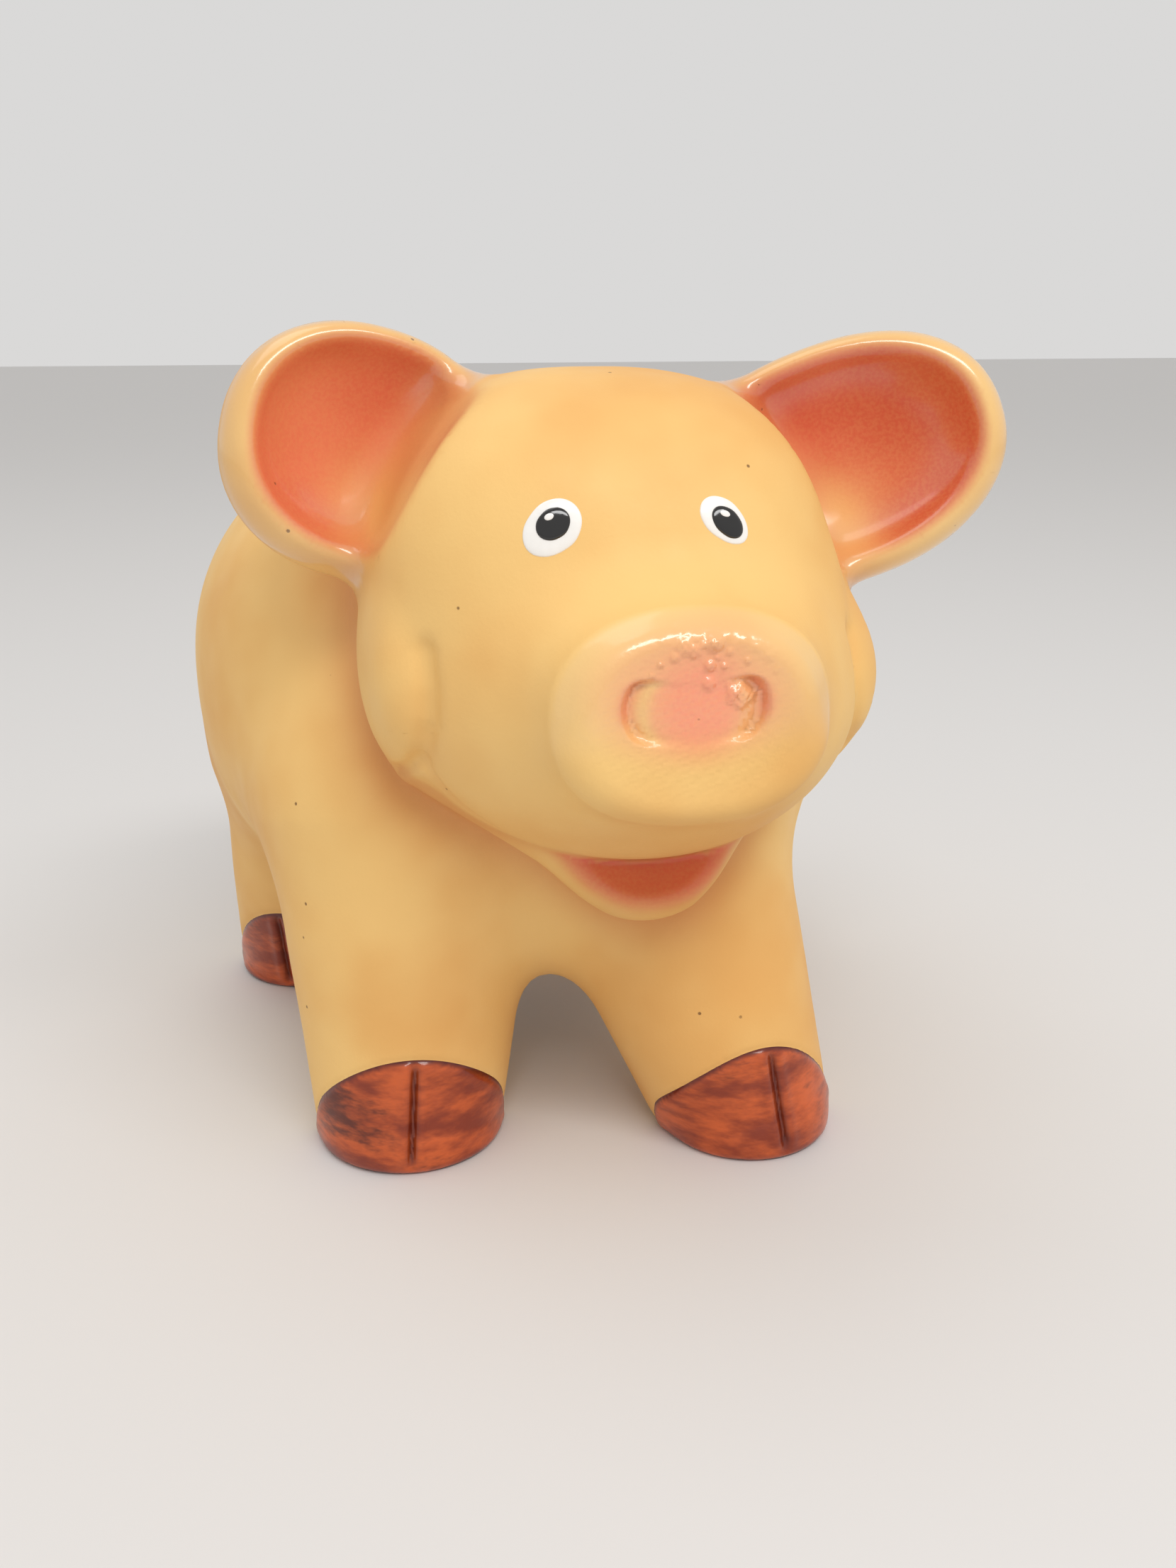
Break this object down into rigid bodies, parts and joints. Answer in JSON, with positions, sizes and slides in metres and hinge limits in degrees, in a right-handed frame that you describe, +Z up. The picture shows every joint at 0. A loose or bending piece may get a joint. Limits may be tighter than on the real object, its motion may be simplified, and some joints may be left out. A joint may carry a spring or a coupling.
{
  "type": "piggy bank",
  "caption": "Hollow standing pig bank, cast and hand painted, with a coin slot in the back and a pull-out belly stopper.",
  "frame": {"origin": "middle of the rectangle that the pig covers on the surface it stands on", "axes": "+Z up, the pig looks along -Y, its left side is +X"},
  "size_m": [0.1514, 0.1958, 0.164],
  "materials": {
    "yellow_paint": "cast plaster, hand painted peach yellow under satin gloss varnish",
    "ear_paint": "cast plaster, airbrushed coral in the cup, peach yellow outside, gloss varnish",
    "hoof_stain": "cast plaster, mottled red-brown stain under gloss varnish",
    "white_enamel": "thick gloss enamel dot",
    "black_enamel": "thick gloss enamel dot",
    "stopper_rubber": "matt moulded soft rubber"
  },
  "bodies": {
    "bank": {"body_shell": "yellow_paint", "right_ear": "ear_paint", "left_ear": "ear_paint", "tail": "yellow_paint", "front_right_hoof": "hoof_stain", "front_left_hoof": "hoof_stain", "rear_right_hoof": "hoof_stain", "rear_left_hoof": "hoof_stain", "right_eye_white": "white_enamel", "right_eye_pupil": "black_enamel", "left_eye_white": "white_enamel", "left_eye_pupil": "black_enamel"},
    "stopper": {"stopper": "stopper_rubber"}
  },
  "joints": [
    {"name": "stopper_pull", "type": "slide", "parent": "bank", "child": "stopper", "axis": [0, 0, -1], "range_m": [0, 0.02]}
  ]
}
